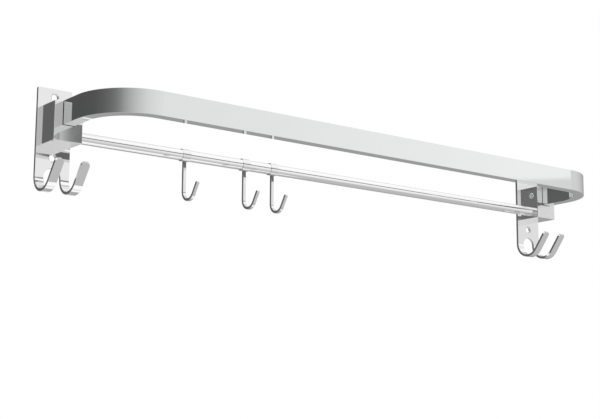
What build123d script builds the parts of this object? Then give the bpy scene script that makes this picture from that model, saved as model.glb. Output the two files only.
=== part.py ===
from build123d import *
import os

# Folding towel rail, in millimetres.
# The origin is the middle of the four wall screw holes, on the wall's face.
# +X runs along the rail to the right, +Y goes into the wall and +Z is up.

# Wall plates
overall_length = 590.0
plate_width = 31.0
plate_height = 90.0
plate_thickness = 2.5
plate_edge_radius = 0.15
plate_corner_radius = 0.8
hole_spacing_up = 51.5
hole_margin = 7.1
hole_diameter = 5.8
hole_rim_chamfer = 0.8

# Hooks bent from the lower end of each plate
plate_hook_width = 7.8
plate_hook_bend = 12.7
plate_hook_rise = 52.0
plate_hook_arm = 21.4
plate_hook_tip_flat = 0.6
hook_slot_crown_drop = 8.8

# Bracket blocks
block_inset = 2.6
block_depth = 26.0
block_height = 33.1
block_drop = 16.5
block_edge_radius = 0.5
block_screw_diameter = 3.0
block_screw_head = 5.6
block_screw_reach = 8.0
upper_screw_drop = 6.4
lower_screw_rise = 6.5
block_screw_socket = 2.0
block_screw_socket_depth = 1.0

# Folding frame, a bent flat tube
arm_height = 20.2
arm_thickness = 10.0
arm_wall = 1.2
arm_edge_radius = 0.25
frame_reach = 103.2
frame_bend_outside = 49.0
arm_top_rise = 0.7

# Pivots
pivot_from_wall = 20.5
pivot_diameter = 5.0
bush_wall = 1.0
washer_diameter = 13.0
washer_thickness = 0.8
washer_play = 0.15
side_gap = 0.45
rest_gap = 0.3
end_gap = 0.7
arm_plug_length = 34.0
arm_plug_chamfer = 0.8
pivot_head_diameter = 6.2
pivot_head_height = 2.2
pivot_head_recess = 1.4
pivot_head_edge = 0.6
pivot_socket = 3.0
pivot_socket_depth = 1.2
pivot_thread_diameter = 4.0
pivot_thread_length = 5.4
thread_end_room = 0.5

# Lower rail and the pins that locate it
rail_diameter = 9.6
rail_wall = 1.0
rail_from_wall = 20.0
rail_above_block_bottom = 6.6
rail_pin_diameter = 6.0
rail_pin_reach = 8.0
rail_plug_length = 12.0
rail_pin_chamfer = 0.6

# Strip hooks on the rail
strip_width = 2.8
strip_thickness = 2.4
strip_edge_radius = 0.25
rail_hook_places = (-163.4, -100.7, -70.1)
rail_hook_drop = 41.4
rail_hook_bend = 7.5
rail_hook_rise = 57.0
rail_hook_arm = 11.6
ring_width = 7.6
ring_wall = 0.6
strip_tip_radius = 0.4

# Clearances
running_clearance = 0.05
fit_clearance = 0.02
head_clearance = 0.2
cut_room = 5.0
same_length = 0.02

# Places that follow from the sizes
hole_spacing_along = overall_length - plate_width
plate_top = hole_spacing_up / 2 + hole_margin
plate_bottom = plate_top - plate_height
block_width = plate_width - 2 * block_inset
block_top = plate_top - block_drop
block_bottom = block_top - block_height
block_front = -plate_thickness - block_depth
slot_width = arm_thickness + 2 * side_gap
washer_seat = washer_thickness + washer_play - side_gap
cheek = (block_width - slot_width) / 2
pivot_y = -pivot_from_wall
pivot_z = block_top + arm_top_rise - arm_height / 2
arm_end_radius = arm_height / 2
slot_floor = pivot_z - arm_end_radius - rest_gap
slot_back = pivot_y + arm_end_radius + end_gap
rail_y = -rail_from_wall
rail_z = block_bottom + rail_above_block_bottom
bush_diameter = pivot_diameter + 2 * running_clearance + 2 * bush_wall
centres = {"left": -hole_spacing_along / 2, "right": hole_spacing_along / 2}
inward = {"left": 1, "right": -1}
inner_faces = {side: centres[side] + inward[side] * block_width / 2 for side in inward}


def across(x, y, z, direction=1):
    """A plane square to X, whose normal points along +X or -X."""
    return Plane(origin=(x, y, z), x_dir=(0, 1, 0), z_dir=(direction, 0, 0))


def rod(x, y, z, radius, length, direction=1):
    """A round bar along X that starts at x."""
    return extrude(across(x, y, z, direction) * Circle(radius), length)


def bent_strip(path, section):
    """A strip that follows a path in the YZ plane, with the width of its section along X."""
    start = Plane(origin=path @ 0, x_dir=(1, 0, 0), z_dir=path % 0)
    return sweep(start * section, path=path)


def hook_bend(start, radius, rise, arm):
    """The round of a hook that comes straight down, then its arm, which climbs away from the wall."""
    turn = CenterArc((start[0] - radius, start[1]), radius, 0, -90 - rise)
    return turn + PolarLine(turn @ 1, arm, direction=turn % 1)


def runs_through_sheet(edge):
    return abs(edge.length - plate_thickness) < same_length


def wall_plate(x):
    bend = plate_hook_bend + plate_thickness / 2
    sheet_middle = -plate_thickness / 2
    bend_start = plate_bottom + plate_hook_bend + plate_thickness
    shank = Line((sheet_middle, plate_top), (sheet_middle, bend_start))
    hook = hook_bend((sheet_middle, bend_start), bend, plate_hook_rise, plate_hook_arm)
    path = Plane.YZ * (shank + hook)
    tip = path @ 1
    plate = bent_strip(path, Rectangle(plate_width, plate_thickness))

    # The slot that parts the two hooks: round at the plate, open through the tips
    slot = plate_width - 2 * plate_hook_width
    crown = -hole_spacing_up / 2 - hook_slot_crown_drop
    turn_y = sheet_middle - bend
    low = plate_bottom - cut_room
    arch_centre = crown - slot / 2
    arch = Pos(0, arch_centre) * Circle(slot / 2)
    arch += Pos(0, (arch_centre + low) / 2) * Rectangle(slot, arch_centre - low)
    plate -= extrude(Plane.XZ * arch, -turn_y) + extrude(Plane.XZ * arch, -cut_room)
    tip_top = tip.Z + cut_room
    tip_reach = turn_y - tip.Y + cut_room
    opening = Pos(0, turn_y - tip_reach / 2, (tip_top + low) / 2)
    plate -= opening * Box(slot, tip_reach, tip_top - low)

    # Rounded hook tips and upper corners
    for hook_x in (-1, 1):
        hook_tip = (hook_x * (plate_width - plate_hook_width) / 2, tip.Y, tip.Z)
        corners = plate.edges().filter_by(runs_through_sheet).sort_by_distance(hook_tip)
        plate = fillet(corners[:2], (plate_hook_width - plate_hook_tip_flat) / 2)
    corners = plate.edges().filter_by(runs_through_sheet).sort_by(Axis.Z)
    plate = fillet(corners[-2:], plate_corner_radius)

    # Eased edges all round the outline, on both faces of the sheet
    sheet_edges = [face for face in plate.faces() if face.edges().filter_by(runs_through_sheet)]
    outline = [edge for face in sheet_edges for edge in face.edges() if not runs_through_sheet(edge)]
    plate = fillet(outline, plate_edge_radius)

    # Wall screw holes, and countersinks at the back for the block's screws
    for hole_z in (-hole_spacing_up / 2, hole_spacing_up / 2):
        plate -= Pos(0, sheet_middle, hole_z) * Rot(90, 0, 0) * Cylinder(hole_diameter / 2, 2 * plate_thickness)
        rims = plate.edges().filter_by(GeomType.CIRCLE).sort_by_distance((0, -plate_thickness, hole_z))
        plate = chamfer(rims[0], hole_rim_chamfer)
    plate = Pos(x, 0, 0) * plate
    for place in block_screw_places(x):
        plate -= place * screw_form(fit_clearance, block_screw_reach)
    return plate


def block_screw_places(x):
    """Two screws in the cheeks near the top and one in the solid foot, all driven from the wall side."""
    upper = block_top - upper_screw_drop
    lower = block_bottom + lower_screw_rise
    spread = (slot_width + cheek) / 2
    spots = ((-spread, upper), (spread, upper), (0, lower))
    return [Plane(origin=(x + dx, 0, z), x_dir=(1, 0, 0), z_dir=(0, -1, 0)) for dx, z in spots]


def screw_form(clearance, reach):
    """A countersunk screw's outline, turned about its axis, with its head at the origin."""
    head = block_screw_head / 2 + clearance
    shank = block_screw_diameter / 2 + clearance
    end = plate_thickness + reach
    points = [(0, 0), (head, 0), (shank, head - shank), (shank, end), (0, end)]
    return revolve(Plane.XZ * make_face(Polyline(*points, close=True)), Axis.Z)


def block_screws(x):
    screws = []
    for place in block_screw_places(x):
        screw = screw_form(0, block_screw_reach - thread_end_room)
        socket = extrude(RegularPolygon(block_screw_socket / 2, 6, major_radius=False), block_screw_socket_depth)
        screws.append(place * (screw - socket))
    return Compound(children=screws)


def bracket_block(side):
    x = centres[side]
    middle = Pos(x, (block_front - plate_thickness) / 2, (block_top + block_bottom) / 2)
    block = middle * Box(block_width, block_depth, block_height)
    back = -plate_thickness - block_edge_radius
    block = fillet(block.edges().filter_by(lambda edge: edge.center().Y < back), block_edge_radius)

    # Slot for the arm, open to the front and the top
    slot_depth = slot_back - block_front + cut_room
    slot_height = block_top - slot_floor + cut_room
    slot = Pos(x, slot_back - slot_depth / 2, slot_floor + slot_height / 2)
    block -= slot * Box(slot_width, slot_depth, slot_height)

    # Pivot bore: counterbore and clear hole in the inner cheek, blind thread in the outer one
    face = inner_faces[side]
    outward = -inward[side]
    seat = pivot_head_diameter / 2 + head_clearance
    block -= rod(face, pivot_y, pivot_z, seat, pivot_head_recess, outward)
    block -= rod(face, pivot_y, pivot_z, pivot_diameter / 2 + running_clearance, cheek + slot_width / 2, outward)
    thread_start = face + outward * (cheek + slot_width)
    thread_bore = pivot_thread_diameter / 2 + fit_clearance
    block -= rod(thread_start, pivot_y, pivot_z, thread_bore, pivot_thread_length + thread_end_room, outward)

    # Seats for the friction washers in the slot's walls
    for wall_side in (-1, 1):
        wall = x + wall_side * slot_width / 2
        block -= rod(wall, pivot_y, pivot_z, washer_diameter / 2 + head_clearance, washer_seat, wall_side)

    # Blind socket for the rail's pin, and tapped holes at the back
    pin_bore = rail_pin_diameter / 2 + fit_clearance
    block -= rod(face, rail_y, rail_z, pin_bore, rail_pin_reach + thread_end_room, outward)
    for place in block_screw_places(x):
        block -= place * screw_form(fit_clearance, block_screw_reach)
    return block


def frame_end_waste(x):
    """What is cut from an arm's square end to leave a half round about the pivot."""
    height = arm_height + 2 * cut_room
    width = arm_thickness + 2 * cut_room
    length = arm_end_radius + cut_room
    square = Pos(x, pivot_y + length / 2, pivot_z) * Box(width, length, height)
    return square - rod(x - width / 2, pivot_y, pivot_z, arm_end_radius, width)


def folding_frame():
    middle_radius = frame_bend_outside - arm_thickness / 2
    front = -frame_reach + arm_thickness / 2
    end = pivot_y + arm_end_radius
    left = centres["left"]
    right = centres["right"]
    corners = [(left, end), (left, front), (right, front), (right, end)]
    path = Pos(0, 0, pivot_z) * FilletPolyline(*corners, radius=middle_radius)
    start = Plane(origin=path @ 0, x_dir=(1, 0, 0), z_dir=path % 0)
    section = RectangleRounded(arm_thickness, arm_height, arm_edge_radius)
    section -= Rectangle(arm_thickness - 2 * arm_wall, arm_height - 2 * arm_wall)
    frame = sweep(start * section, path=path)
    for x in (left, right):
        frame -= frame_end_waste(x)
        frame -= rod(x - arm_thickness, pivot_y, pivot_z, bush_diameter / 2 + fit_clearance, 2 * arm_thickness)
    return frame


def arm_plug(x):
    width = arm_thickness - 2 * arm_wall - 2 * fit_clearance
    height = arm_height - 2 * arm_wall - 2 * fit_clearance
    end = pivot_y + arm_end_radius
    plug = Pos(x, end - arm_plug_length / 2, pivot_z) * Box(width, arm_plug_length, height)
    plug = chamfer(plug.faces().sort_by(Axis.Y)[0].edges(), arm_plug_chamfer)
    plug -= frame_end_waste(x)
    return plug - rod(x - width, pivot_y, pivot_z, bush_diameter / 2 + fit_clearance, 2 * width)


def pivot_bush(x):
    bush = rod(x - arm_thickness / 2, pivot_y, pivot_z, bush_diameter / 2, arm_thickness)
    bore = pivot_diameter / 2 + running_clearance
    return bush - rod(x - arm_thickness, pivot_y, pivot_z, bore, 2 * arm_thickness)


def pivot_washer(x, wall_side):
    """A washer that stands in its seat in one wall of a block's slot."""
    floor = x + wall_side * (slot_width / 2 + washer_seat)
    washer = rod(floor, pivot_y, pivot_z, washer_diameter / 2, washer_thickness, -wall_side)
    bore = pivot_diameter / 2 + running_clearance
    return washer - rod(floor, pivot_y, pivot_z, bore, washer_thickness, -wall_side)


def pivot_screw(side):
    """A shoulder screw: head in the inner cheek, shoulder against the outer one, thread beyond it."""
    outward = -inward[side]
    seat = inner_faces[side] + outward * pivot_head_recess
    shoulder = cheek - pivot_head_recess + slot_width
    head = rod(seat, pivot_y, pivot_z, pivot_head_diameter / 2, pivot_head_height, -outward)
    rim = head.edges().filter_by(GeomType.CIRCLE).sort_by(Axis.X, reverse=outward < 0)[0]
    head = fillet(rim, pivot_head_edge)
    top = seat - outward * pivot_head_height
    socket = across(top, pivot_y, pivot_z, outward) * RegularPolygon(pivot_socket / 2, 6, major_radius=False)
    head -= extrude(socket, pivot_socket_depth)
    screw = head + rod(seat, pivot_y, pivot_z, pivot_diameter / 2, shoulder, outward)
    thread_start = seat + outward * shoulder
    return screw + rod(thread_start, pivot_y, pivot_z, pivot_thread_diameter / 2, pivot_thread_length, outward)


def lower_rail():
    length = inner_faces["right"] - inner_faces["left"]
    tube = rod(inner_faces["left"], rail_y, rail_z, rail_diameter / 2, length)
    return tube - rod(inner_faces["left"], rail_y, rail_z, rail_diameter / 2 - rail_wall, length)


def rail_pin(side):
    """A turned pin: the thick end is pressed into the rail, the thin end stands in the block."""
    face = inner_faces[side]
    plug_radius = rail_diameter / 2 - rail_wall - fit_clearance
    plug = rod(face, rail_y, rail_z, plug_radius, rail_plug_length, inward[side])
    pin = rod(face, rail_y, rail_z, rail_pin_diameter / 2, rail_pin_reach, -inward[side])
    turned = plug + pin
    ends = turned.edges().filter_by(GeomType.CIRCLE).sort_by(Axis.X)
    return chamfer([ends[0], ends[-1]], rail_pin_chamfer)


def rail_hook(x):
    """A thin ring round the rail, with a strip hook that hangs from under it."""
    bore = rail_diameter / 2 + running_clearance
    bend = rail_hook_bend + strip_thickness / 2
    bend_start = rail_z - rail_hook_drop + rail_hook_bend + strip_thickness
    shank = Line((rail_y, rail_z - bore - ring_wall / 2), (rail_y, bend_start))
    path = Plane.YZ * (shank + hook_bend((rail_y, bend_start), bend, rail_hook_rise, rail_hook_arm))
    hook = bent_strip(path, RectangleRounded(strip_width, strip_thickness, strip_edge_radius))
    tip = hook.faces().sort_by_distance(path @ 1)[0]
    hook = fillet(tip.edges(), strip_tip_radius)
    ring = rod(-ring_width / 2, rail_y, rail_z, bore + ring_wall, ring_width)
    ring -= rod(-ring_width / 2, rail_y, rail_z, bore, ring_width)
    return Pos(x, 0, 0) * (ring + hook)


def all_parts():
    parts = {"folding_frame": folding_frame(), "lower_rail": lower_rail()}
    for side in ("left", "right"):
        x = centres[side]
        parts[side + "_wall_plate"] = wall_plate(x)
        parts[side + "_bracket_block"] = bracket_block(side)
        parts[side + "_block_screws"] = block_screws(x)
        parts[side + "_arm_plug"] = arm_plug(x)
        parts[side + "_pivot_bush"] = pivot_bush(x)
        parts[side + "_pivot_screw"] = pivot_screw(side)
        parts[side + "_inner_washer"] = pivot_washer(x, inward[side])
        parts[side + "_outer_washer"] = pivot_washer(x, -inward[side])
        parts[side + "_rail_pin"] = rail_pin(side)
    for name, x in zip(("left", "middle", "right"), rail_hook_places):
        parts[name + "_rail_hook"] = rail_hook(x)
    return parts


os.makedirs("parts", exist_ok=True)
for name, shape in all_parts().items():
    export_step(shape, f"parts/{name}.step")
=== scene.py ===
import math
import bpy
import bmesh
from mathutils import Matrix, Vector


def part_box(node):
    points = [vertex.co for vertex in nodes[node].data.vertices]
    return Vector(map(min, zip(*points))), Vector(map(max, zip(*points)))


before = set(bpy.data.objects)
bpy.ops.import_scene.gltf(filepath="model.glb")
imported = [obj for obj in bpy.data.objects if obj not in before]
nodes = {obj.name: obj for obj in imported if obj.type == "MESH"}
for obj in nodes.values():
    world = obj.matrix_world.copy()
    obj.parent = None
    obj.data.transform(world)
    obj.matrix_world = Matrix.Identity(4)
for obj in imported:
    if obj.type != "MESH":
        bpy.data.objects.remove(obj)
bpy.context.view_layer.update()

scene = bpy.context.scene
scene.view_settings.view_transform = "Standard"


# Small helpers for node trees, with places counted in columns and rows of the node editor
columnStep = 200
rowStep = -180


def addNode(tree, kind, place, **values):
    node = tree.nodes.new(kind)
    node.location = (place[0] * columnStep, place[1] * rowStep)
    for key, value in values.items():
        setattr(node, key, value)
    return node


def setInputs(node, **values):
    for key, value in values.items():
        node.inputs[key].default_value = value
    return node


def mathNode(tree, operation, place, first=None, second=None):
    node = addNode(tree, "ShaderNodeMath", place, operation=operation)
    for index, value in enumerate((first, second)):
        if value is None:
            continue
        if isinstance(value, bpy.types.NodeSocket):
            tree.links.new(value, node.inputs[index])
        else:
            node.inputs[index].default_value = value
    return node.outputs[0]


def rangeNode(tree, value, place, fromLow, fromHigh, toLow, toHigh, smooth=False):
    node = addNode(tree, "ShaderNodeMapRange", place)
    node.interpolation_type = "SMOOTHSTEP" if smooth else "LINEAR"
    setInputs(node, **{"From Min": fromLow, "From Max": fromHigh,
                       "To Min": toLow, "To Max": toHigh})
    tree.links.new(value, node.inputs["Value"])
    return node.outputs["Result"]


def newGroup(name, inputs, outputs):
    tree = bpy.data.node_groups.new(name, "ShaderNodeTree")
    for label, kind, default in inputs:
        socket = tree.interface.new_socket(name=label, in_out="INPUT", socket_type=kind)
        if default is not None:
            socket.default_value = default
    for label, kind in outputs:
        tree.interface.new_socket(name=label, in_out="OUTPUT", socket_type=kind)
    given = addNode(tree, "NodeGroupInput", (-4, 0))
    result = addNode(tree, "NodeGroupOutput", (4, 0))
    return tree, given, result


# Polishing lines: very fine streaks, drawn out along one direction
polishStreaks = {"detail": 5.0, "roughness": 0.62, "low": 0.32, "high": 0.68}


def buildPolishGroup():
    tree, given, result = newGroup(
        "polishLines",
        [("Vector", "NodeSocketVector", None), ("Stretch", "NodeSocketVector", (1, 1, 1)),
         ("Scale", "NodeSocketFloat", 900.0)],
        [("Line", "NodeSocketFloat"), ("Height", "NodeSocketFloat")],
    )
    drawn = addNode(tree, "ShaderNodeVectorMath", (-3, 0), operation="MULTIPLY")
    tree.links.new(given.outputs["Vector"], drawn.inputs[0])
    tree.links.new(given.outputs["Stretch"], drawn.inputs[1])
    fine = addNode(tree, "ShaderNodeTexNoise", (-2, 0))
    setInputs(fine, Detail=polishStreaks["detail"], Roughness=polishStreaks["roughness"])
    tree.links.new(drawn.outputs[0], fine.inputs["Vector"])
    tree.links.new(given.outputs["Scale"], fine.inputs["Scale"])
    line = rangeNode(tree, fine.outputs["Fac"], (0, 0),
                     polishStreaks["low"], polishStreaks["high"], 0.0, 1.0)
    tree.links.new(line, result.inputs["Line"])
    tree.links.new(fine.outputs["Fac"], result.inputs["Height"])
    return tree


# Cloudy film that handling leaves on polished metal
filmClouds = {"detail": 3.0, "roughness": 0.5, "distortion": 0.6, "low": 0.42, "high": 0.72}


def buildSmudgeGroup():
    tree, given, result = newGroup(
        "handlingFilm",
        [("Vector", "NodeSocketVector", None), ("Scale", "NodeSocketFloat", 18.0)],
        [("Film", "NodeSocketFloat")],
    )
    cloud = addNode(tree, "ShaderNodeTexNoise", (-2, 0))
    setInputs(cloud, Detail=filmClouds["detail"], Roughness=filmClouds["roughness"],
              Distortion=filmClouds["distortion"])
    tree.links.new(given.outputs["Vector"], cloud.inputs["Vector"])
    tree.links.new(given.outputs["Scale"], cloud.inputs["Scale"])
    film = rangeNode(tree, cloud.outputs["Fac"], (0, 0),
                     filmClouds["low"], filmClouds["high"], 0.0, 1.0, smooth=True)
    tree.links.new(film, result.inputs["Film"])
    return tree


# Rings or bands that a lathe leaves about the X axis
def buildTurningGroup():
    tree, given, result = newGroup(
        "turningMarks",
        [("Vector", "NodeSocketVector", None), ("Pitch", "NodeSocketFloat", 0.0003)],
        [("Groove", "NodeSocketFloat"), ("Height", "NodeSocketFloat")],
    )
    parts = addNode(tree, "ShaderNodeSeparateXYZ", (-3, 0))
    tree.links.new(given.outputs["Vector"], parts.inputs[0])
    ySquare = mathNode(tree, "POWER", (-2, 0), parts.outputs["Y"], 2.0)
    zSquare = mathNode(tree, "POWER", (-2, 1), parts.outputs["Z"], 2.0)
    squares = mathNode(tree, "ADD", (-1, 1), ySquare, zSquare)
    radius = mathNode(tree, "SQRT", (-1, 0), squares)
    along = mathNode(tree, "ADD", (0, 0), radius, parts.outputs["X"])
    turns = mathNode(tree, "DIVIDE", (1, 0), along, given.outputs["Pitch"])
    phase = mathNode(tree, "MULTIPLY", (2, 1), turns, 2 * math.pi)
    wave = mathNode(tree, "SINE", (2, 0), phase)
    groove = rangeNode(tree, wave, (3, 0), -1.0, 1.0, 0.0, 1.0)
    tree.links.new(groove, result.inputs["Groove"])
    tree.links.new(wave, result.inputs["Height"])
    return tree


# Fine spark-eroded grain of a moulding tool, full at this distance from a cell's middle
grainReach = 0.8


def buildMouldGroup():
    tree, given, result = newGroup(
        "mouldedGrain",
        [("Vector", "NodeSocketVector", None), ("Scale", "NodeSocketFloat", 2600.0)],
        [("Speck", "NodeSocketFloat"), ("Height", "NodeSocketFloat")],
    )
    grain = addNode(tree, "ShaderNodeTexVoronoi", (-2, 0))
    tree.links.new(given.outputs["Vector"], grain.inputs["Vector"])
    tree.links.new(given.outputs["Scale"], grain.inputs["Scale"])
    speck = rangeNode(tree, grain.outputs["Distance"], (0, 0), 0.0, grainReach, 0.0, 1.0)
    tree.links.new(speck, result.inputs["Speck"])
    tree.links.new(grain.outputs["Distance"], result.inputs["Height"])
    return tree


polishGroup = buildPolishGroup()
smudgeGroup = buildSmudgeGroup()
turningGroup = buildTurningGroup()
mouldGroup = buildMouldGroup()
print("node groups built: polish lines, handling film, turning marks, moulded grain")


def startMaterial(name):
    material = bpy.data.materials.new(name)
    material.use_nodes = True
    tree = material.node_tree
    shader = tree.nodes["Principled BSDF"]
    shader.location = (4 * columnStep, 0)
    tree.nodes["Material Output"].location = (6 * columnStep, 0)
    coords = addNode(tree, "ShaderNodeTexCoord", (-5, 0))
    return material, tree, shader, coords


def placeGroup(tree, group, place, vector, **values):
    node = addNode(tree, "ShaderNodeGroup", place)
    node.node_tree = group
    tree.links.new(vector, node.inputs["Vector"])
    return setInputs(node, **values)


def mixColours(tree, place, factor, first, second):
    node = addNode(tree, "ShaderNodeMix", place, data_type="RGBA")
    tree.links.new(factor, node.inputs["Factor"])
    for socket in node.inputs:
        if socket.type == "RGBA" and socket.name == "A":
            socket.default_value = (*first, 1)
        if socket.type == "RGBA" and socket.name == "B":
            socket.default_value = (*second, 1)
    return [socket for socket in node.outputs if socket.type == "RGBA"][0]


def bumpInto(tree, place, height, shader, strength, depth):
    node = addNode(tree, "ShaderNodeBump", place)
    setInputs(node, Strength=strength, Distance=depth)
    tree.links.new(height, node.inputs["Height"])
    tree.links.new(node.outputs["Normal"], shader.inputs["Normal"])


# Polished metals: a clean and a filmed tint, the way the polishing ran, and how sharp it mirrors
frameChrome = {"clean": (0.850, 0.863, 0.857), "filmed": (0.838, 0.851, 0.845), "metal": 1.0,
               "stretch": (0.05, 1.0, 1.0), "lines": 1400.0,
               "sharp": 0.018, "dull": 0.040, "bump": 0.010}
plateChrome = {"clean": (0.952, 0.954, 0.952), "filmed": (0.940, 0.942, 0.940), "metal": 1.0,
               "stretch": (1.0, 1.0, 0.05), "lines": 1500.0,
               "sharp": 0.020, "dull": 0.045, "bump": 0.010}
blockChrome = {"clean": (0.868, 0.871, 0.869), "filmed": (0.855, 0.858, 0.856), "metal": 0.90,
               "stretch": (1.0, 0.06, 1.0), "lines": 1600.0,
               "sharp": 0.022, "dull": 0.045, "bump": 0.010}
railChrome = {"clean": (0.966, 0.968, 0.966), "filmed": (0.950, 0.952, 0.950), "metal": 1.0,
              "stretch": (0.04, 1.0, 1.0), "lines": 1800.0,
              "sharp": 0.018, "dull": 0.040, "bump": 0.008}
hookChrome = {"clean": (0.895, 0.900, 0.897), "filmed": (0.875, 0.880, 0.877), "metal": 1.0,
              "stretch": (1.0, 0.3, 0.08), "lines": 2200.0,
              "sharp": 0.025, "dull": 0.055, "bump": 0.012}
polishMix = {"filmScale": 22.0, "lineShare": 0.4, "filmShare": 0.6, "bumpDepth": 0.00004}


def polishedMetal(name, finish):
    material, tree, shader, coords = startMaterial(name)
    spot = coords.outputs["Object"]
    lines = placeGroup(tree, polishGroup, (-3, 0), spot,
                       Stretch=finish["stretch"], Scale=finish["lines"])
    film = placeGroup(tree, smudgeGroup, (-3, 2), spot, Scale=polishMix["filmScale"])
    worn = mathNode(tree, "MULTIPLY", (-1, 1), lines.outputs["Line"], film.outputs["Film"])
    tint = mixColours(tree, (1, 0), worn, finish["clean"], finish["filmed"])
    tree.links.new(tint, shader.inputs["Base Color"])
    lineShare = mathNode(tree, "MULTIPLY", (-1, 2), lines.outputs["Line"], polishMix["lineShare"])
    filmShare = mathNode(tree, "MULTIPLY", (-1, 3), film.outputs["Film"], polishMix["filmShare"])
    wear = mathNode(tree, "ADD", (0, 1), lineShare, filmShare)
    rough = rangeNode(tree, wear, (1, 1), 0.0, 1.0, finish["sharp"], finish["dull"])
    tree.links.new(rough, shader.inputs["Roughness"])
    shader.inputs["Metallic"].default_value = finish["metal"]
    bumpInto(tree, (2, 2), lines.outputs["Height"], shader, finish["bump"], polishMix["bumpDepth"])
    return material


# Turned steel and brass: tints on and between the lathe rings, and the pitch of the rings in metres
pivotSteel = {"light": (0.97, 0.975, 0.975), "dark": (0.90, 0.905, 0.905), "metal": 0.85,
              "pitch": 0.00022, "sharp": 0.42, "dull": 0.55}
screwSteel = {"light": (0.80, 0.81, 0.81), "dark": (0.62, 0.63, 0.63), "metal": 1.0,
              "pitch": 0.00022, "sharp": 0.12, "dull": 0.24}
pinSteel = {"light": (0.76, 0.77, 0.77), "dark": (0.60, 0.61, 0.61), "metal": 1.0,
            "pitch": 0.00030, "sharp": 0.18, "dull": 0.32}
bushBrass = {"light": (0.80, 0.66, 0.36), "dark": (0.66, 0.51, 0.25), "metal": 1.0,
             "pitch": 0.00026, "sharp": 0.20, "dull": 0.34}
turningMix = {"filmScale": 160.0, "bump": 0.12, "bumpDepth": 0.00002}


def turnedMetal(name, finish, centre):
    material, tree, shader, coords = startMaterial(name)
    moved = addNode(tree, "ShaderNodeMapping", (-4, 0))
    moved.inputs["Location"].default_value = tuple(-value for value in centre)
    tree.links.new(coords.outputs["Object"], moved.inputs["Vector"])
    rings = placeGroup(tree, turningGroup, (-3, 0), moved.outputs["Vector"], Pitch=finish["pitch"])
    film = placeGroup(tree, smudgeGroup, (-3, 2), moved.outputs["Vector"],
                      Scale=turningMix["filmScale"])
    shade = mathNode(tree, "MULTIPLY", (-1, 1), rings.outputs["Groove"], film.outputs["Film"])
    tint = mixColours(tree, (1, 0), shade, finish["light"], finish["dark"])
    tree.links.new(tint, shader.inputs["Base Color"])
    rough = rangeNode(tree, film.outputs["Film"], (1, 1), 0.0, 1.0, finish["sharp"], finish["dull"])
    tree.links.new(rough, shader.inputs["Roughness"])
    shader.inputs["Metallic"].default_value = finish["metal"]
    bumpInto(tree, (2, 2), rings.outputs["Height"], shader,
             turningMix["bump"], turningMix["bumpDepth"])
    return material


# Moulded plastics
plugPlastic = {"light": (0.105, 0.105, 0.112), "dark": (0.070, 0.070, 0.076),
               "grain": 2400.0, "sharp": 0.42, "dull": 0.60}
washerPlastic = {"light": (0.140, 0.140, 0.146), "dark": (0.100, 0.100, 0.106),
                 "grain": 3600.0, "sharp": 0.36, "dull": 0.52}
mouldMix = {"filmScale": 240.0, "bump": 0.3, "bumpDepth": 0.00005}


def mouldedPlastic(name, finish):
    material, tree, shader, coords = startMaterial(name)
    spot = coords.outputs["Object"]
    grain = placeGroup(tree, mouldGroup, (-3, 0), spot, Scale=finish["grain"])
    film = placeGroup(tree, smudgeGroup, (-3, 2), spot, Scale=mouldMix["filmScale"])
    tint = mixColours(tree, (1, 0), grain.outputs["Speck"], finish["light"], finish["dark"])
    tree.links.new(tint, shader.inputs["Base Color"])
    rough = rangeNode(tree, film.outputs["Film"], (1, 1), 0.0, 1.0, finish["sharp"], finish["dull"])
    tree.links.new(rough, shader.inputs["Roughness"])
    bumpInto(tree, (2, 2), grain.outputs["Height"], shader, mouldMix["bump"], mouldMix["bumpDepth"])
    return material


def finishNode(nodeName, material):
    node = nodes[nodeName]
    node.data.materials.clear()
    node.data.materials.append(material)


def nodeCentre(nodeName):
    low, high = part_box(nodeName)
    return tuple((low + high) / 2)


frameMetal = polishedMetal("frameChrome", frameChrome)
plateMetal = polishedMetal("plateChrome", plateChrome)
blockMetal = polishedMetal("blockChrome", blockChrome)
railMetal = polishedMetal("railChrome", railChrome)
hookMetal = polishedMetal("hookChrome", hookChrome)
plugBlack = mouldedPlastic("plugPlastic", plugPlastic)
washerBlack = mouldedPlastic("washerPlastic", washerPlastic)

finishNode("folding_frame", frameMetal)
finishNode("lower_rail", railMetal)
for place in ("left", "middle", "right"):
    finishNode(place + "_rail_hook", hookMetal)
for side in ("left", "right"):
    pivot = nodeCentre(side + "_pivot_bush")
    pin = nodeCentre(side + "_rail_pin")
    finishNode(side + "_wall_plate", plateMetal)
    finishNode(side + "_bracket_block", blockMetal)
    finishNode(side + "_arm_plug", plugBlack)
    finishNode(side + "_pivot_bush", turnedMetal(side + "BushBrass", bushBrass, pivot))
    finishNode(side + "_pivot_screw", turnedMetal(side + "PivotSteel", pivotSteel, pivot))
    finishNode(side + "_block_screws", turnedMetal(side + "ScrewSteel", screwSteel, pivot))
    finishNode(side + "_inner_washer", washerBlack)
    finishNode(side + "_outer_washer", washerBlack)
    finishNode(side + "_rail_pin", turnedMetal(side + "PinSteel", pinSteel, pin))
print("finishes laid on all nodes")


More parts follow.
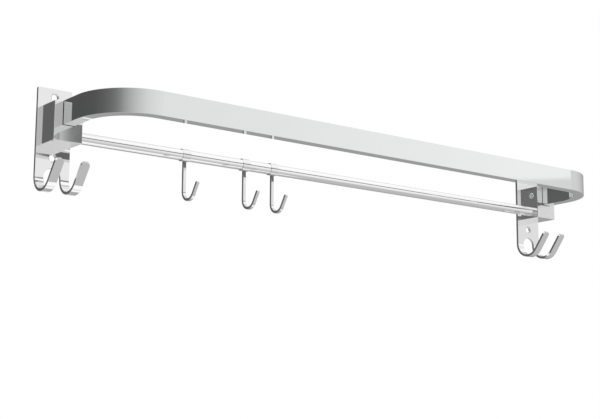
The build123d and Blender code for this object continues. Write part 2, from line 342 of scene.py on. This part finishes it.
# Studio tent that the polished metal mirrors, in bands from the ground up.
# Each band gives light levels by compass heading, clockwise from the wall side, and the heights
# (as the sine of the elevation) between which it takes over from the band below
tentShape = {"radius": 12.0, "subdivisions": 4}
fullTurn = 360
tentBands = [
    {"levels": {0: 0.60, 360: 0.60}},
    {"blend": (-0.95, -0.915), "levels": {
        0: 0.60, 22: 0.62, 32: 1.0, 62: 1.0, 76: 0.74, 90: 1.0, 126: 1.0, 142: 0.62, 360: 0.60}},
    {"blend": (-0.835, -0.815), "levels": {
        0: 0.60, 22: 0.62, 32: 1.0, 121: 1.0, 127: 0.50, 140: 0.50, 360: 0.60}},
    {"blend": (-0.816, -0.806), "levels": {
        0: 0.40, 34: 0.42, 44: 0.46, 64: 0.47, 97: 0.52, 120: 0.50, 134: 0.50, 141: 0.55, 180: 0.60,
        226: 0.45, 270: 0.35, 314: 0.30, 360: 0.40}},
    {"blend": (-0.775, -0.735), "levels": {
        0: 0.40, 34: 0.42, 44: 0.44, 64: 0.45, 97: 0.51, 124: 0.50, 131: 0.58, 135: 0.58, 142: 0.53,
        180: 0.60, 226: 0.45, 270: 0.35, 314: 0.30, 360: 0.40}},
    {"blend": (-0.58, -0.29), "levels": {
        0: 0.60, 22: 0.60, 25.4: 0.75, 26.8: 0.37, 28: 0.36, 48: 0.36, 60: 0.40, 72: 0.55,
        108: 0.62, 128: 0.68, 135: 0.84, 143: 0.90, 150: 0.78, 160: 0.69, 180: 0.68, 226: 0.50,
        270: 0.30, 314: 0.20, 345: 0.45, 360: 0.60}},
    {"blend": (-0.05, 0.03), "levels": {
        0: 0.12, 30: 0.20, 48: 0.30, 73: 0.47, 90: 0.59, 114: 0.72, 126: 0.73, 134: 0.77, 150: 0.82,
        189: 0.73, 203: 0.70, 226: 0.72, 240: 0.45, 262: 0.16, 290: 0.12, 360: 0.12}},
    {"blend": (0.197, 0.200), "levels": {
        0: 0.10, 20: 0.13, 34: 0.18, 50: 0.25, 66: 0.38, 81: 0.51, 100: 0.645, 114: 0.72, 125: 0.73,
        131: 0.98, 138: 0.94, 151: 0.86, 178: 0.76, 193: 0.66, 223: 0.38, 238: 0.225, 254: 0.15,
        288: 0.095, 335: 0.088, 360: 0.10}},
    {"blend": (0.34, 0.71), "levels": {0: 0.75, 44: 0.75, 60: 1.0, 330: 1.0, 360: 0.75}},
    {"blend": (0.86, 0.93), "levels": {0: 0.62, 90: 0.68, 180: 0.60, 270: 0.56, 360: 0.62}},
]


def headingCurve(tree, heading, levels, place):
    curve = addNode(tree, "ShaderNodeFloatCurve", place)
    line = curve.mapping.curves[0]
    stops = sorted(levels.items())
    line.points[0].location = (stops[0][0] / fullTurn, stops[0][1])
    line.points[-1].location = (stops[-1][0] / fullTurn, stops[-1][1])
    for angle, level in stops[1:-1]:
        line.points.new(angle / fullTurn, level)
    for point in line.points:
        point.handle_type = "AUTO_CLAMPED"
    curve.mapping.update()
    tree.links.new(heading, curve.inputs["Value"])
    return curve.outputs["Value"]


def buildTent():
    shape = bmesh.new()
    bmesh.ops.create_icosphere(shape, subdivisions=tentShape["subdivisions"],
                               radius=tentShape["radius"])
    mesh = bpy.data.meshes.new("studioTent")
    shape.to_mesh(mesh)
    shape.free()
    piece = bpy.data.objects.new("studioTent", mesh)
    scene.collection.objects.link(piece)
    piece.visible_camera = False
    piece.visible_diffuse = False
    piece.visible_shadow = False
    material = bpy.data.materials.new("tentLight")
    material.use_nodes = True
    tree = material.node_tree
    tree.nodes.remove(tree.nodes["Principled BSDF"])
    coords = addNode(tree, "ShaderNodeTexCoord", (-6, 0))
    unit = addNode(tree, "ShaderNodeVectorMath", (-5, 0), operation="NORMALIZE")
    tree.links.new(coords.outputs["Object"], unit.inputs[0])
    parts = addNode(tree, "ShaderNodeSeparateXYZ", (-4, 0))
    tree.links.new(unit.outputs[0], parts.inputs[0])
    angle = mathNode(tree, "ARCTAN2", (-3, 0), parts.outputs["X"], parts.outputs["Y"])
    turn = mathNode(tree, "DIVIDE", (-2, 0), angle, 2 * math.pi)
    ahead = mathNode(tree, "ADD", (-2, 1), turn, 1.0)
    heading = mathNode(tree, "FRACT", (-1, 0), ahead)
    level = None
    for row, band in enumerate(tentBands):
        own = headingCurve(tree, heading, band["levels"], (0, 2 * row))
        if level is None:
            level = own
            continue
        share = rangeNode(tree, parts.outputs["Z"], (1, 2 * row), *band["blend"], 0.0, 1.0,
                          smooth=True)
        mixed = addNode(tree, "ShaderNodeMix", (2, 2 * row))
        tree.links.new(share, mixed.inputs["Factor"])
        tree.links.new(level, mixed.inputs["A"])
        tree.links.new(own, mixed.inputs["B"])
        level = mixed.outputs["Result"]
    glow = addNode(tree, "ShaderNodeEmission", (4, 0))
    tree.links.new(level, glow.inputs["Strength"])
    tree.links.new(glow.outputs[0], tree.nodes["Material Output"].inputs["Surface"])
    mesh.materials.append(material)


buildTent()
print("studio tent up")


# Pale floor, seen only from above
floor = {"height": -0.90, "radius": 9.0, "sides": 128, "filmScale": 3.0,
         "pale": (0.86, 0.86, 0.85), "worn": (0.83, 0.83, 0.82), "roughness": 0.7, "lift": 0.55}


def buildFloor():
    shape = bmesh.new()
    bmesh.ops.create_circle(shape, cap_ends=True, segments=floor["sides"], radius=floor["radius"])
    bmesh.ops.translate(shape, vec=(0, 0, floor["height"]), verts=shape.verts)
    mesh = bpy.data.meshes.new("studioFloor")
    shape.to_mesh(mesh)
    shape.free()
    piece = bpy.data.objects.new("studioFloor", mesh)
    scene.collection.objects.link(piece)
    piece.visible_glossy = False
    material, tree, shader, coords = startMaterial("floorPaint")
    film = placeGroup(tree, smudgeGroup, (-3, 0), coords.outputs["Object"], Scale=floor["filmScale"])
    tint = mixColours(tree, (-1, 0), film.outputs["Film"], floor["pale"], floor["worn"])
    tree.links.new(tint, shader.inputs["Base Color"])
    shader.inputs["Roughness"].default_value = floor["roughness"]
    # Lifted towards white for the camera alone
    path = addNode(tree, "ShaderNodeLightPath", (2, 3))
    bright = addNode(tree, "ShaderNodeEmission", (2, 2))
    lifted = addNode(tree, "ShaderNodeMixShader", (4, 1))
    lift = mathNode(tree, "MULTIPLY", (3, 3), path.outputs["Is Camera Ray"], floor["lift"])
    tree.links.new(lift, lifted.inputs[0])
    tree.links.new(shader.outputs[0], lifted.inputs[1])
    tree.links.new(bright.outputs[0], lifted.inputs[2])
    # Clear from below
    clear = addNode(tree, "ShaderNodeBsdfTransparent", (4, 3))
    sided = addNode(tree, "ShaderNodeMixShader", (5, 1))
    side = addNode(tree, "ShaderNodeNewGeometry", (4, -1))
    tree.links.new(side.outputs["Backfacing"], sided.inputs[0])
    tree.links.new(lifted.outputs[0], sided.inputs[1])
    tree.links.new(clear.outputs[0], sided.inputs[2])
    tree.links.new(sided.outputs[0], tree.nodes["Material Output"].inputs["Surface"])
    mesh.materials.append(material)


buildFloor()
print("floor down")


# World: white behind the object and in its mirrors, softer on dull surfaces
backdrop = {"seen": 1.0, "onDull": 0.55}
world = bpy.data.worlds.new("studioWorld")
scene.world = world
world.use_nodes = True
sky = world.node_tree
sky.nodes.clear()
path = addNode(sky, "ShaderNodeLightPath", (-3, 0))
seen = mathNode(sky, "ADD", (-2, 0), path.outputs["Is Camera Ray"], path.outputs["Is Glossy Ray"])
seenAll = mathNode(sky, "ADD", (-1, 0), seen, path.outputs["Is Transmission Ray"])
seenAll.node.use_clamp = True
back = addNode(sky, "ShaderNodeBackground", (1, 0))
setInputs(back, Color=(1, 1, 1, 1))
strength = rangeNode(sky, seenAll, (0, 0), 0.0, 1.0, backdrop["onDull"], backdrop["seen"])
sky.links.new(strength, back.inputs["Strength"])
skyOut = addNode(sky, "ShaderNodeOutputWorld", (2, 0))
sky.links.new(back.outputs[0], skyOut.inputs["Surface"])
print("backdrop set")


# Soft lamps for the dull pieces and the floor's shadow
lamps = {
    "overheadSoftbox": {"place": (0.2, -0.8, 1.9), "aim": (0, 0, 0), "size": 1.6, "watts": 26},
    "rightSoftbox": {"place": (1.7, -1.5, 0.9), "aim": (0, 0, 0), "size": 1.3, "watts": 16},
}


def aimAt(place, aim):
    gap = [a - p for a, p in zip(aim, place)]
    flat = math.hypot(gap[0], gap[1])
    return (math.atan2(flat, -gap[2]), 0, math.atan2(gap[1], gap[0]) - math.pi / 2)


for name, lamp in lamps.items():
    light = bpy.data.lights.new(name, "AREA")
    light.size = lamp["size"]
    light.energy = lamp["watts"]
    holder = bpy.data.objects.new(name, light)
    holder.location = lamp["place"]
    holder.rotation_euler = aimAt(lamp["place"], lamp["aim"])
    holder.visible_glossy = False
    scene.collection.objects.link(holder)
print("lamps hung")


# Camera: low, in front and to the left, looking slightly up
shot = {"place": (-0.76934, -0.99521, -0.26856), "turn": (100.4821, -0.3864, -36.9372),
        "lens": 81.2736, "sensor": 36.0, "near": 0.01, "far": 100.0}
lens = bpy.data.cameras.new("shotCamera")
lens.sensor_fit = "HORIZONTAL"
lens.sensor_width = shot["sensor"]
lens.lens = shot["lens"]
lens.clip_start = shot["near"]
lens.clip_end = shot["far"]
camera = bpy.data.objects.new("shotCamera", lens)
camera.location = shot["place"]
camera.rotation_euler = tuple(math.radians(value) for value in shot["turn"])
scene.collection.objects.link(camera)
scene.camera = camera
print("camera set")
